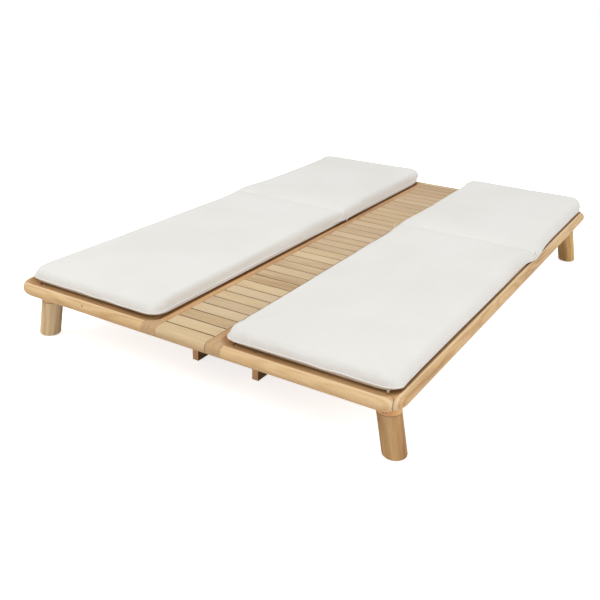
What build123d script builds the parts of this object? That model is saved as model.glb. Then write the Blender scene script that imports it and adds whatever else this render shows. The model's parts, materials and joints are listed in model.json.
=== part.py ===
from build123d import *

import os
from math import atan2, cos, radians, sin

# Double chaise lounger: two recliner frames joined by a slatted deck, on round splayed legs.
# Millimetres. X runs across the width, Y from the foot end to the head end, Z up from the floor.

# Overall sizes
overall_length = 2050.0
overall_width = 1390.0
deck_height = 216.0
deck_width = 182.0

# Perimeter rails
rail_height = 40.0
rail_width = 56.0
corner_radius = 70.0
edge_round = 19.5
ridge_inset = 20.0
cove_depth = 14.0
cove_sag = 2.6
tongue_width = 34.0
tongue_inset = 23.0
tongue_round = 14.0

# Clearances
joint_gap = 0.2
fit_gap = 0.3
overrun = 5.0

# Centre deck
deck_end_depth = 52.0
deck_gap = 4.2
deck_slat_count = 33
deck_slat_thickness = 18.0
deck_ledger_width = 20.0
slat_round = 1.6

# Round legs, each leaning outwards in X below its collar
leg_diameter = 70.0
leg_top_inset = 74.0
leg_foot_inset = 36.0
leg_end_inset = 99.0
collar_height = 42.0
collar_proud = 0.6
foot_round = 6.0
corner_plate_length = 96.0
corner_plate_width = 90.0
leg_bolt_diameter = 10.0
leg_bolt_depth = 60.0
leg_nut_diameter = 22.0
leg_nut_height = 5.0
bolt_clearance = 0.6
glide_height = 3.0
glide_diameter = 44.0
small_glide_diameter = 18.0

# Flat inner legs under the inner rails
inner_leg_width = 24.0
inner_leg_depth = 54.0
inner_leg_inset = 15.0
inner_leg_setback = 222.0

# Seat structure
seat_slat_thickness = 16.0
seat_slat_width = 60.0
seat_slat_count = 14
slat_end_gap = 2.0
ledger_width = 22.0
ledger_foot_width = 38.0
ledger_drop = 60.0
ledger_end_taper = 32.0
bearer_thickness = 24.0
hinge_bearer_offset = 46.0
rear_bearer_inset = 155.0
rear_bearer_height = 24.0

# Backrest
hinge_y = 200.0
hinge_drop = 14.0
backrest_angle = 60.0
backrest_end_gap = 9.0
stile_width = 24.0
stile_height = 28.0
stile_gap = 3.0
backrest_slat_count = 8
backrest_slat_width = 60.0
backrest_slat_start = 10.0
rest_gap = 0.4
hinge_bolt_diameter = 10.0
hinge_head_diameter = 18.0
hinge_head_height = 6.0
hinge_bolt_grip = 20.0
top_rail_depth = 24.0
head_slat_width = 112.0
plate_gap = 5.0

# Prop stay under the backrest, its foot bar sits in scallops along two racks
prop_end_turn = 61.16
prop_rest_gap = 15.0
prop_foot_drop = 24.0
prop_arm_width = 19.0
prop_arm_height = 24.0
prop_gap = 3.0
prop_pin_diameter = 8.0
prop_bar_diameter = 14.0
rack_width = 22.0
rack_offset = 6.0
rack_clearance = 1.2
scallop_depth = 3.0
rack_foot_height = 9.0
# Shares of the backrest's lift: where a scallop stops the bar, and where the rack's top arc passes
prop_stop_shares = (0.4, 0.6, 0.8, 1.0)
rack_arc_shares = (1.0, 0.67, 0.35)

# Cushions, each one long pad in a seat and a back section with a soft fold between
cushion_front_inset = 50.0
cushion_back_inset = 40.0
cushion_back_lap = 40.0
cushion_side_lap = 30.0
cushion_thickness = 56.0
cushion_corner = 58.0
cushion_drift = 10.0
cushion_bow = 3.0
fold_shift = 12.0
fold_front = 36.0
fold_back = 60.0
fold_pinch = 9.0
fold_pinch_reach = 46.0
fold_groove_depth = 9.0
fold_groove_width = 26.0
cushion_roll = 40.0
# Shares of the cove's depth and run that the cushion's foot follows, then shares of its own
# thickness with how far the side is drawn in, as a share of its roll, and the crown, of its half width
cushion_foot_shares = ((0.0, 0.0), (0.32, 0.48), (0.68, 0.77), (1.04, 0.97))
cushion_side_shares = ((0.35, 0.04), (0.46, 0.0), (0.7, 0.08), (0.86, 0.34))
cushion_crown_shares = ((0.94, 0.14), (0.98, 0.34), (1.0, 0.75))

# Places worked out from the sizes above
half_length = overall_length / 2
half_width = overall_width / 2
deck_half = deck_width / 2
rail_bottom = deck_height - rail_height
recess_x_inner = deck_half + rail_width
recess_x_outer = half_width - rail_width
recess_y = half_length - rail_width
recess_centre_x = (recess_x_inner + recess_x_outer) / 2
recess_width = recess_x_outer - recess_x_inner
cove_run = rail_width - ridge_inset
inner_radius = corner_radius - rail_width
seat_top = deck_height - cove_depth
slat_bottom = seat_top - seat_slat_thickness
ledger_bottom = slat_bottom - ledger_drop
leg_radius = leg_diameter / 2
leg_top_x = half_width - leg_top_inset
leg_foot_x = half_width - leg_foot_inset
leg_y = half_length - leg_end_inset
hinge_z = slat_bottom - hinge_drop
hinge_bearer_back = hinge_y - hinge_bearer_offset
rear_bearer_back = half_length - rear_bearer_inset
bearer_span = recess_width - 2 * ledger_width - 2 * joint_gap
stile_offset = recess_width / 2 - ledger_width - stile_gap
arm_offset = stile_offset - stile_width - prop_gap
rack_offset_x = arm_offset - prop_arm_width - rack_offset
cushion_width = recess_width + 2 * cushion_side_lap
cushion_foot_inset = cushion_side_lap + cushion_drift
fold_y = hinge_y + fold_shift
backrest_back = recess_y - backrest_end_gap
frame_back = recess_y - corner_plate_length - plate_gap
leg_plane = Plane(
    origin=(leg_top_x, -leg_y, rail_bottom),
    x_dir=(0, 1, 0),
    z_dir=(leg_foot_x - leg_top_x, 0, -rail_bottom),
)

os.makedirs("parts", exist_ok=True)


def keep(piece, name):
    """Label a finished piece and write it out."""
    piece.part.label = name
    export_step(piece.part, f"parts/{name}.step")


def mirrored(piece, plane):
    """The same piece on the other side of a plane."""
    with BuildPart() as copy:
        mirror(piece.part, about=plane)
    return copy


def keep_sides(piece, name):
    """Write a right-hand piece and its left-hand mirror image."""
    keep(piece, f"right_{name}")
    keep(mirrored(piece, Plane.YZ), f"left_{name}")


def keep_corners(piece, name):
    """Write a front right piece and its mirror images at the other three corners."""
    back = mirrored(piece, Plane.XZ)
    keep_sides(piece, f"front_{name}")
    keep_sides(back, f"back_{name}")


# Dished recess that the cushion lies in, cut along the rails of one frame
ridge_x = (deck_half + ridge_inset + half_width - ridge_inset) / 2
ridge_half_x = (half_width - deck_half) / 2 - ridge_inset
ridge_half_y = half_length - ridge_inset
ridge_radius = corner_radius - ridge_inset
with BuildPart() as recess:
    with BuildSketch(Plane((ridge_x, 0, deck_height))) as ridge_outline:
        RectangleRounded(2 * ridge_half_x, 2 * ridge_half_y, ridge_radius)
    ridge_wire = ridge_outline.sketch.faces()[0].outer_wire()
    section_plane = Plane(
        origin=(ridge_x + ridge_half_x, 0, deck_height), x_dir=(-1, 0, 0), z_dir=(0, 1, 0)
    )
    with BuildSketch(section_plane, mode=Mode.PRIVATE) as cove:
        with BuildLine():
            rim = (0, 0)
            toe = (cove_run, -cove_depth)
            dish = (cove_run / 2, -cove_depth / 2 - cove_sag)
            ThreePointArc(rim, dish, toe)
            Polyline(toe, (cove_run, overrun), (0, overrun), rim)
        make_face()
with BuildPart() as cove_ring:
    sweep(cove.sketch, path=ridge_wire)

# One frame as a single blank, from which its four rails are cut
with BuildPart() as right_frame:
    with BuildSketch(Plane.XY.offset(rail_bottom)) as plan:
        with Locations(((deck_half + half_width) / 2, 0)):
            Rectangle(half_width - deck_half, overall_length)
        fillet(plan.vertices().group_by(Axis.X)[-1], corner_radius)
    extrude(amount=rail_height)
    rims = right_frame.faces().filter_by(Axis.Z).edges()
    deck_side = rims.filter_by(Axis.Y).group_by(Axis.X)[0]
    fillet(rims - deck_side, edge_round)
    with BuildSketch(Plane.XY.offset(rail_bottom - overrun)):
        with Locations((recess_centre_x, 0)):
            RectangleRounded(recess_width, 2 * recess_y, inner_radius)
    extrude(amount=rail_height + 2 * overrun, mode=Mode.SUBTRACT)
    add(cove_ring.part, mode=Mode.SUBTRACT)


def tongue_plan(margin):
    """Plan of the front rail with its rounded tongue, grown by a margin at the corner joint."""
    with BuildSketch(Plane.XY.offset(rail_bottom - overrun)) as region:
        shoulder_x = recess_x_outer + margin
        with Locations(((recess_x_inner + shoulder_x) / 2, -half_length)):
            Rectangle(shoulder_x - recess_x_inner, 2 * (rail_width + inner_radius))
        tip_x = half_width - tongue_inset + margin
        with BuildSketch(Plane.XY.offset(rail_bottom - overrun), mode=Mode.PRIVATE) as tongue:
            with Locations(((recess_x_inner + tip_x) / 2, -half_length)):
                Rectangle(tip_x - recess_x_inner, 2 * (tongue_width + margin))
            fillet(tongue.vertices().group_by(Axis.X)[-1].sort_by(Axis.Y)[-1], tongue_round)
        add(tongue.sketch)
    return region.sketch


# Front and back rails
with BuildPart() as front_rail:
    add(right_frame.part)
    with BuildSketch(Plane.XY.offset(rail_bottom - overrun)):
        add(tongue_plan(0))
    extrude(amount=rail_height + 2 * overrun, mode=Mode.INTERSECT)
keep_sides(front_rail, "front_rail")
keep_sides(mirrored(front_rail, Plane.XZ), "back_rail")

# Outer rail, which wraps both rounded corners
with BuildPart() as outer_rail:
    add(right_frame.part)
    with BuildSketch(Plane.XY.offset(rail_bottom - overrun)):
        with Locations(((recess_x_outer + joint_gap + half_width) / 2, 0)):
            Rectangle(rail_width - joint_gap, overall_length)
    extrude(amount=rail_height + 2 * overrun, mode=Mode.INTERSECT)
    with BuildSketch(Plane.XY.offset(rail_bottom - overrun)) as pockets:
        add(tongue_plan(joint_gap))
        mirror(about=Plane.XZ)
    extrude(amount=rail_height + 2 * overrun, mode=Mode.SUBTRACT)
keep_sides(outer_rail, "outer_rail")

# Inner rail, whose end grain shows at the front and back
with BuildPart() as inner_rail:
    add(right_frame.part)
    with BuildSketch(Plane.XY.offset(rail_bottom - overrun)):
        with Locations(((deck_half + recess_x_inner - joint_gap) / 2, 0)):
            Rectangle(rail_width - joint_gap, overall_length)
    extrude(amount=rail_height + 2 * overrun, mode=Mode.INTERSECT)
keep_sides(inner_rail, "inner_rail")

# Centre deck: end rails, slats across and the ledgers under their ends
deck_span = deck_width - 2 * joint_gap
deck_end_y = half_length - deck_end_depth
with BuildPart() as deck_front_rail:
    with BuildSketch(Plane.XY.offset(rail_bottom)):
        with Locations((0, -(half_length + deck_end_y) / 2)):
            Rectangle(deck_span, deck_end_depth)
    extrude(amount=rail_height)
    fillet(deck_front_rail.edges().filter_by(Axis.X).group_by(Axis.Y)[0], edge_round)
    fillet(deck_front_rail.edges().filter_by(Axis.X).group_by(Axis.Y)[-1].sort_by(Axis.Z)[-1], slat_round)
keep(deck_front_rail, "deck_front_rail")
keep(mirrored(deck_front_rail, Plane.XZ), "deck_back_rail")

deck_pitch = (2 * deck_end_y - deck_gap) / deck_slat_count
with BuildPart() as deck_slats:
    with BuildSketch(Plane.XY.offset(deck_height - deck_slat_thickness)):
        with GridLocations(deck_width, deck_pitch, 1, deck_slat_count):
            Rectangle(deck_span, deck_pitch - deck_gap)
    extrude(amount=deck_slat_thickness)
    fillet(deck_slats.edges().filter_by(Axis.X).group_by(Axis.Z)[-1], slat_round)
keep(deck_slats, "deck_slats")

deck_ledger_height = rail_height - deck_slat_thickness
with BuildPart() as deck_ledgers:
    with BuildSketch(Plane.XY.offset(rail_bottom)):
        with GridLocations(deck_width - deck_ledger_width, overall_length, 2, 1):
            Rectangle(deck_ledger_width, 2 * (deck_end_y - joint_gap))
    extrude(amount=deck_ledger_height)
keep(deck_ledgers, "deck_ledgers")

# Round leg, collar, corner plate, hanger bolt and foot glide of the front right corner
collar_bottom = rail_bottom - collar_height
with BuildPart() as leg:
    with BuildSketch(leg_plane):
        Circle(leg_radius)
    extrude(amount=rail_bottom + leg_diameter, both=True)
    split(bisect_by=Plane.XY.offset(collar_bottom), keep=Keep.BOTTOM)
    split(bisect_by=Plane.XY.offset(glide_height), keep=Keep.TOP)
    fillet(leg.faces().sort_by(Axis.Z)[0].edges(), foot_round)
    with BuildSketch(leg_plane):
        Circle((leg_bolt_diameter + bolt_clearance) / 2)
    extrude(amount=collar_height + leg_bolt_depth + bolt_clearance, mode=Mode.SUBTRACT)
keep_corners(leg, "leg")

with BuildPart() as collar:
    with BuildSketch(leg_plane):
        Circle(leg_radius + collar_proud)
        Circle((leg_bolt_diameter + bolt_clearance) / 2, mode=Mode.SUBTRACT)
    extrude(amount=collar_height + leg_diameter, both=True)
    split(bisect_by=Plane.XY.offset(rail_bottom), keep=Keep.BOTTOM)
    split(bisect_by=Plane.XY.offset(collar_bottom), keep=Keep.TOP)
keep_corners(collar, "leg_collar")

corner_plate_thickness = slat_bottom - rail_bottom
with BuildPart() as corner_plate:
    with BuildSketch(Plane.XY.offset(rail_bottom)) as plate:
        with Locations((recess_x_outer - corner_plate_width / 2, corner_plate_length / 2 - recess_y)):
            Rectangle(corner_plate_width, corner_plate_length)
        fillet(plate.vertices().group_by(Axis.X)[-1].sort_by(Axis.Y)[0], inner_radius + slat_round)
    extrude(amount=corner_plate_thickness)
    with BuildSketch(leg_plane):
        Circle((leg_bolt_diameter + bolt_clearance) / 2)
    extrude(amount=rail_height, both=True, mode=Mode.SUBTRACT)
    leg_tilt = atan2(leg_foot_x - leg_top_x, rail_bottom)
    nut_sink = leg_nut_height + leg_nut_diameter / 2 * sin(leg_tilt) + bolt_clearance
    nut_seat = leg_plane.offset(nut_sink - corner_plate_thickness)
    with BuildSketch(nut_seat):
        Circle(leg_nut_diameter / 2 + bolt_clearance)
    extrude(amount=-rail_height, mode=Mode.SUBTRACT)
    mirror(about=Plane.XZ)
    mirror(about=Plane.YZ)
keep(corner_plate, "corner_plates")

with BuildPart() as leg_bolts:
    with BuildSketch(nut_seat.offset(-leg_nut_height)):
        Circle(leg_bolt_diameter / 2)
    extrude(amount=leg_nut_height + collar_height + leg_bolt_depth)
    with BuildSketch(nut_seat):
        RegularPolygon(leg_nut_diameter / 2, 6)
    extrude(amount=-leg_nut_height)
    mirror(about=Plane.XZ)
    mirror(about=Plane.YZ)
keep(leg_bolts, "leg_bolts")

# Flat inner leg under the front end of the right inner rail
inner_leg_x = deck_half + inner_leg_inset + inner_leg_width / 2
inner_leg_y = half_length - inner_leg_setback - inner_leg_depth / 2
with BuildPart() as inner_leg:
    with BuildSketch(Plane.XY.offset(glide_height)):
        with Locations((inner_leg_x, -inner_leg_y)):
            RectangleRounded(inner_leg_width, inner_leg_depth, slat_round)
    extrude(amount=rail_bottom - glide_height)
keep_corners(inner_leg, "inner_leg")

foot_x = leg_top_x + (leg_foot_x - leg_top_x) * (rail_bottom - glide_height) / rail_bottom
with BuildPart() as foot_glides:
    with BuildSketch():
        with GridLocations(2 * foot_x, 2 * leg_y, 2, 2):
            Circle(glide_diameter / 2)
        with GridLocations(2 * inner_leg_x, 2 * inner_leg_y, 2, 2):
            Circle(small_glide_diameter / 2)
    extrude(amount=glide_height)
keep(foot_glides, "foot_glides")

# Ledgers under the long rails, with a foot below the rail and an upstand inside it
hinge_axis_plane = Plane(origin=(0, hinge_y, hinge_z), x_dir=(0, 1, 0), z_dir=(1, 0, 0))


def ledger(name, rail_face, inward, reach):
    """A ledger whose upstand stands against a rail face, with a blind hole for its hinge bolt."""
    inside = rail_face + inward * ledger_width
    foot_face = inside - inward * ledger_foot_width
    with BuildPart() as piece:
        with BuildSketch(Plane.XZ.offset(reach)):
            with BuildLine():
                Polyline(
                    (inside, ledger_bottom),
                    (inside, slat_bottom),
                    (rail_face, slat_bottom),
                    (rail_face, rail_bottom),
                    (foot_face, rail_bottom),
                    (foot_face, ledger_bottom),
                    close=True,
                )
            make_face()
        extrude(amount=-2 * reach)
        chamfer(piece.edges().filter_by(Axis.X).group_by(Axis.Z)[0], ledger_end_taper)
        with BuildSketch(hinge_axis_plane.offset(inside)):
            Circle(hinge_bolt_diameter / 2 + fit_gap)
        extrude(amount=-inward * (hinge_bolt_grip + fit_gap), mode=Mode.SUBTRACT)
    keep_sides(piece, name)


ledger("outer_ledger", recess_x_outer, -1, recess_y - corner_plate_length - joint_gap)
ledger("inner_ledger", recess_x_inner, 1, recess_y - inner_radius)

# Seat slats from the foot end to just before the hinge
seat_slats_back = hinge_y - fold_front
seat_slat_span = recess_width - 2 * slat_end_gap
seat_run = seat_slats_back + recess_y - slat_end_gap
seat_slat_pitch = (seat_run - seat_slat_width) / (seat_slat_count - 1)
with BuildPart() as seat_slats:
    with BuildSketch(Plane.XY.offset(slat_bottom)) as slat_plan:
        with Locations((recess_centre_x, seat_slats_back - seat_run / 2)):
            with GridLocations(recess_width, seat_slat_pitch, 1, seat_slat_count):
                Rectangle(seat_slat_span, seat_slat_width)
        fillet(slat_plan.vertices().group_by(Axis.Y)[0], inner_radius)
    extrude(amount=seat_slat_thickness)
    fillet(seat_slats.edges().filter_by(Axis.X).group_by(Axis.Z)[-1], slat_round)
keep_sides(seat_slats, "seat_slats")

# Bearers between the ledgers, one beside the hinge and one that carries the racks
with BuildPart() as hinge_bearer:
    with BuildSketch(Plane.XY.offset(ledger_bottom)):
        with Locations((recess_centre_x, hinge_bearer_back - bearer_thickness / 2)):
            Rectangle(bearer_span, bearer_thickness)
    extrude(amount=ledger_drop)
keep_sides(hinge_bearer, "hinge_bearer")

with BuildPart() as rear_bearer:
    with BuildSketch(Plane.XY.offset(ledger_bottom)):
        with Locations((recess_centre_x, rear_bearer_back - bearer_thickness / 2)):
            Rectangle(bearer_span, bearer_thickness)
    extrude(amount=rear_bearer_height)
keep_sides(rear_bearer, "rear_bearer")

# Prop geometry: the stay turns about its pin while the backrest lifts
prop_run = rear_bearer_back - bearer_thickness - prop_rest_gap - prop_bar_diameter / 2 - hinge_y
lift_sine = sin(radians(backrest_angle))
turn_sine = sin(radians(prop_end_turn))
prop_pivot_reach = (prop_run * turn_sine - prop_foot_drop) / (lift_sine + turn_sine)
prop_length = prop_run - prop_pivot_reach
prop_ratio = (backrest_angle + prop_end_turn) / backrest_angle
print("prop turns", round(prop_ratio, 4), "degrees for each degree of the backrest")


def prop_foot(angle):
    """Where the foot bar's centre is, as y and z, with the backrest lifted by an angle."""
    lift = radians(angle)
    dip = radians(angle * (prop_ratio - 1))
    y = hinge_y + prop_pivot_reach * cos(lift) + prop_length * cos(dip)
    z = hinge_z + prop_pivot_reach * sin(lift) - prop_length * sin(dip)
    return y, z


def under_foot(share):
    """The point just under the foot bar, as y and z, at a share of the backrest's lift."""
    y, z = prop_foot(share * backrest_angle)
    return y, z - prop_bar_diameter / 2 - rack_clearance


# Racks: their top edge is an arc just under the path of the foot bar
rack_front_y = hinge_bearer_back + joint_gap
rack_back_y = rear_bearer_back - bearer_thickness - joint_gap
rack_arc = [under_foot(share) for share in rack_arc_shares]
rack_low_z = rack_arc[0][1]
rack_high_z = rack_arc[-1][1]
rack_rise_y = rack_arc[0][0] - prop_bar_diameter
with BuildPart() as racks:
    rack_x = recess_centre_x + rack_offset_x
    with BuildSketch(Plane.YZ.offset(rack_x)):
        with BuildLine():
            Polyline(
                (rack_front_y, ledger_bottom),
                (rack_front_y, ledger_bottom + rack_foot_height),
                (rack_rise_y, ledger_bottom + rack_foot_height),
                (rack_rise_y, rack_low_z),
                rack_arc[0],
            )
            ThreePointArc(*rack_arc)
            Polyline(
                rack_arc[-1],
                (rack_back_y, rack_high_z),
                (rack_back_y, ledger_bottom),
                (rack_front_y, ledger_bottom),
            )
        make_face()
        scallop_radius = prop_bar_diameter / 2 + fit_gap
        for stop_y, stop_z in (under_foot(share) for share in prop_stop_shares):
            with Locations((stop_y, stop_z + scallop_radius - scallop_depth)):
                Circle(scallop_radius, mode=Mode.SUBTRACT)
    extrude(amount=-rack_width)
    mirror(about=Plane.YZ.offset(recess_centre_x))
keep_sides(racks, "prop_racks")

# Hinge bolts, whose heads bear on the stiles and whose shanks reach into the ledgers
hinge_shank = fit_gap + stile_width + stile_gap + hinge_bolt_grip
with BuildPart() as hinge_bolts:
    for side in (-1, 1):
        seat_x = recess_centre_x + side * (stile_offset - stile_width - fit_gap)
        with BuildSketch(hinge_axis_plane.offset(seat_x)):
            Circle(hinge_head_diameter / 2)
        extrude(amount=-side * hinge_head_height)
        with BuildSketch(hinge_axis_plane.offset(seat_x)):
            Circle(hinge_bolt_diameter / 2)
        extrude(amount=side * hinge_shank)
    mirror(about=Plane.YZ)
keep(hinge_bolts, "hinge_bolts")

# Backrest stiles, rounded about the hinge, with a hole for the prop pin
stile_length = frame_back - top_rail_depth - joint_gap - hinge_y
prop_pin_y = hinge_y + prop_pivot_reach


def stile(name, side):
    """A backrest stile on one side of the recess centre, the outer one at side 1."""
    outside_x = recess_centre_x + side * stile_offset
    with BuildPart() as piece:
        with BuildSketch(Plane.YZ.offset(outside_x)):
            with Locations((hinge_y + stile_length / 2, hinge_z)):
                Rectangle(stile_length, stile_height)
            with Locations((hinge_y, hinge_z)):
                Circle(stile_height / 2)
                Circle(hinge_bolt_diameter / 2 + fit_gap, mode=Mode.SUBTRACT)
            with Locations((prop_pin_y, hinge_z)):
                Circle(prop_pin_diameter / 2 + fit_gap, mode=Mode.SUBTRACT)
        extrude(amount=-side * stile_width)
    keep_sides(piece, name)


stile("backrest_outer_stile", 1)
stile("backrest_inner_stile", -1)

with BuildPart() as top_rail:
    with BuildSketch(Plane.XY.offset(hinge_z - stile_height / 2)):
        with Locations((recess_centre_x, frame_back - top_rail_depth / 2)):
            Rectangle(2 * stile_offset, top_rail_depth)
    extrude(amount=stile_height)
keep_sides(top_rail, "backrest_top_rail")

# Backrest slats, whose ends lie over the ledgers at rest, the wide head slat past the top rail
backrest_start = hinge_y + backrest_slat_start
backrest_run = backrest_back - backrest_start
backrest_pitch = (backrest_run - head_slat_width) / backrest_slat_count
with BuildPart() as backrest_slats:
    with BuildSketch(Plane.XY.offset(slat_bottom)):
        for place in range(backrest_slat_count):
            with Locations((recess_centre_x, backrest_start + place * backrest_pitch)):
                Rectangle(seat_slat_span, backrest_slat_width, align=(Align.CENTER, Align.MIN))
        with Locations((recess_centre_x, backrest_back)):
            Rectangle(seat_slat_span, head_slat_width, align=(Align.CENTER, Align.MAX))
    extrude(amount=seat_slat_thickness)
    fillet(backrest_slats.edges().filter_by(Axis.X).group_by(Axis.Z)[-1], slat_round)
    with BuildSketch(Plane.XY.offset(slat_bottom)):
        with Locations((recess_centre_x, backrest_start + backrest_run / 2)):
            for side in (-1, 1):
                with Locations((side * (recess_width / 2 - ledger_width / 2), 0)):
                    Rectangle(ledger_width + 2 * rest_gap, backrest_run)
    extrude(amount=rest_gap, mode=Mode.SUBTRACT)
keep_sides(backrest_slats, "backrest_slats")

# Prop: two arms on pins through the stiles, and the foot bar between their free ends
with BuildPart() as prop_arms:
    arm_x = recess_centre_x + arm_offset
    with BuildSketch(Plane.YZ.offset(arm_x)):
        with Locations((prop_pin_y + prop_length / 2, hinge_z)):
            SlotCenterToCenter(prop_length, prop_arm_height)
        with Locations((prop_pin_y, hinge_z)):
            Circle(prop_pin_diameter / 2 + fit_gap, mode=Mode.SUBTRACT)
        with Locations((prop_pin_y + prop_length, hinge_z)):
            Circle(prop_bar_diameter / 2 + joint_gap, mode=Mode.SUBTRACT)
    extrude(amount=-prop_arm_width)
    mirror(about=Plane.YZ.offset(recess_centre_x))
keep_sides(prop_arms, "prop_arms")

with BuildPart() as prop_bar:
    with BuildSketch(Plane.YZ.offset(recess_centre_x)):
        with Locations((prop_pin_y + prop_length, hinge_z)):
            Circle(prop_bar_diameter / 2)
    extrude(amount=arm_offset, both=True)
keep_sides(prop_bar, "prop_bar")

with BuildPart() as prop_pins:
    with BuildSketch(Plane.YZ.offset(recess_centre_x + stile_offset)):
        with Locations((prop_pin_y, hinge_z)):
            Circle(prop_pin_diameter / 2)
    extrude(amount=-(stile_width + prop_gap + prop_arm_width))
    mirror(about=Plane.YZ.offset(recess_centre_x))
keep_sides(prop_pins, "prop_pins")


def cushion_outline(inset, lap, height):
    """Closed outline of the long cushion at one height, drawn in by an inset, lapping the back rail."""
    side = cushion_width / 2 - inset
    front = cushion_front_inset - half_length + inset
    back = half_length - cushion_back_inset - inset + lap
    corner = max(cushion_corner - inset, cushion_corner / 4)
    fold_side = side - fold_pinch
    with BuildSketch(Plane.XY.offset(height)) as outline:
        with BuildLine() as loop:
            a, b = (side, front + corner), (side, fold_y - fold_pinch_reach)
            c, d = (side, fold_y + fold_pinch_reach), (side, back - corner)
            e, f = (side - corner, back), (corner - side, back)
            ThreePointArc(a, (side - cushion_bow, (a[1] + b[1]) / 2), b)
            ThreePointArc(b, (fold_side, fold_y), c)
            ThreePointArc(c, (side - cushion_bow, (c[1] + d[1]) / 2), d)
            bend = corner * (1 - sin(radians(45)))
            ThreePointArc(d, (side - bend, back - bend), e)
            ThreePointArc(e, (0, back - cushion_bow), f)
            ThreePointArc(f, (bend - side, back - bend), (-side, d[1]))
            ThreePointArc((-side, d[1]), (cushion_bow - side, (c[1] + d[1]) / 2), (-side, c[1]))
            ThreePointArc((-side, c[1]), (-fold_side, fold_y), (-side, b[1]))
            ThreePointArc((-side, b[1]), (cushion_bow - side, (a[1] + b[1]) / 2), (-side, a[1]))
            ThreePointArc((-side, a[1]), (bend - side, front + bend), (corner - side, front))
            ThreePointArc((corner - side, front), (0, front + cushion_bow), (side - corner, front))
            ThreePointArc((side - corner, front), (side - bend, front + bend), a)
        make_face()
    return outline.sketch


# The long cushion as one swelling form with a crown, drawn-in sides and a fold channel. Its foot
# lies in the cove, and above the ridge its head end laps over the back rail
cushion_bottom = seat_top + fit_gap
cushion_levels = [
    (height_share * cove_depth, cushion_foot_inset - run_share * cove_run, 0.0)
    for height_share, run_share in cushion_foot_shares
] + [
    (height_share * cushion_thickness, inset_share * cushion_roll, cushion_back_lap)
    for height_share, inset_share in cushion_side_shares
] + [
    (height_share * cushion_thickness, inset_share * cushion_width / 2, cushion_back_lap)
    for height_share, inset_share in cushion_crown_shares
]
with BuildPart() as cushion:
    for rise, inset, lap in cushion_levels:
        add(cushion_outline(inset, lap, cushion_bottom + rise))
    loft(ruled=True)
    groove_z = cushion_bottom + cushion_thickness
    with BuildSketch(Plane.YZ):
        with BuildLine():
            Polyline(
                (fold_y - fold_groove_width / 2, groove_z + overrun),
                (fold_y - fold_groove_width / 2, groove_z),
                (fold_y, groove_z - fold_groove_depth),
                (fold_y + fold_groove_width / 2, groove_z),
                (fold_y + fold_groove_width / 2, groove_z + overrun),
                close=True,
            )
        make_face()
    extrude(amount=cushion_width, both=True, mode=Mode.SUBTRACT)


def cushion_section(name, start, end):
    """The stretch of both cushions between two places along Y."""
    for side, centre_x in (("right", recess_centre_x), ("left", -recess_centre_x - cushion_drift)):
        with BuildPart() as piece:
            with Locations((centre_x, 0, 0)):
                add(cushion.part)
            with BuildSketch(Plane.XY):
                with Locations((centre_x, (start + end) / 2)):
                    Rectangle(2 * cushion_width, end - start)
            extrude(amount=2 * deck_height, mode=Mode.INTERSECT)
        keep(piece, f"{side}_{name}")


fold_start = hinge_y - fold_front
fold_end = hinge_y + fold_back
cushion_section("seat_cushion", -overall_length, fold_start)
cushion_section("cushion_fold", fold_start + fit_gap, fold_end - fit_gap)
cushion_section("back_cushion", fold_end, overall_length)
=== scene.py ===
"""Dresses the double chaise lounger: oiled wood frames and deck, woven cushions, steel and glides."""

import json
import logging
import math
from collections.abc import Iterable
from dataclasses import dataclass, field
from enum import Enum

import bmesh
import bpy
from mathutils import Matrix, Vector, noise


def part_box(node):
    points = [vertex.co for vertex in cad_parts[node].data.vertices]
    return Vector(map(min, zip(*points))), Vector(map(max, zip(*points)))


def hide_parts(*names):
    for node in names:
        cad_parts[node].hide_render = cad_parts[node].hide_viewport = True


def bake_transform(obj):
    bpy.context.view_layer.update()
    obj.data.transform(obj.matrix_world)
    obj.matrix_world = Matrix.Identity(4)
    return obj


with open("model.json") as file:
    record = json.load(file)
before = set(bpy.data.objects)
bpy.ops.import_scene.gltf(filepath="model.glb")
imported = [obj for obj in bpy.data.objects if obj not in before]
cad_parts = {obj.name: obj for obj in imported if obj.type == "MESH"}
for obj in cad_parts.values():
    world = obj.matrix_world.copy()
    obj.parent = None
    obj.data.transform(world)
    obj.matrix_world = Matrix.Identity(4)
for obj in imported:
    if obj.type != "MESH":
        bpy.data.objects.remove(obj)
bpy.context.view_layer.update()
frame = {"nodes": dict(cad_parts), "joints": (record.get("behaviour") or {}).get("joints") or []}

log = logging.getLogger("lounger")
IMAGE_SIDE = 600
CLOTH_PLACE = "cloth_place"
Triple = tuple[float, float, float]
Place = Colour = Triple


class Side(Enum):
    """The two recliners."""

    RIGHT = "right"
    LEFT = "left"

    @property
    def sign(self) -> int:
        """Which way along X the recliner lies."""
        return 1 if self is Side.RIGHT else -1


class End(Enum):
    """The foot end and the head end."""

    FRONT = "front"
    BACK = "back"


class Grain(Enum):
    """Direction in which a board's fibres run."""

    ACROSS = (1.0, 0.0, 0.0)
    ALONG = (0.0, 1.0, 0.0)
    UPRIGHT = (0.0, 0.0, 1.0)


def srgb(red: float, green: float, blue: float) -> tuple[float, float, float, float]:
    """Turn a colour as seen on a screen into the shader's linear one.

    Args:
        red: Red from 0 to 255.
        green: Green from 0 to 255.
        blue: Blue from 0 to 255.

    Returns:
        Linear red, green, blue and alpha.
    """

    def linear(level: float) -> float:
        """Undo the screen's curve for one level."""
        share = level / 255.0
        return share / 12.92 if share <= 0.04045 else ((share + 0.055) / 1.055) ** 2.4

    return linear(red), linear(green), linear(blue), 1.0


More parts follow.
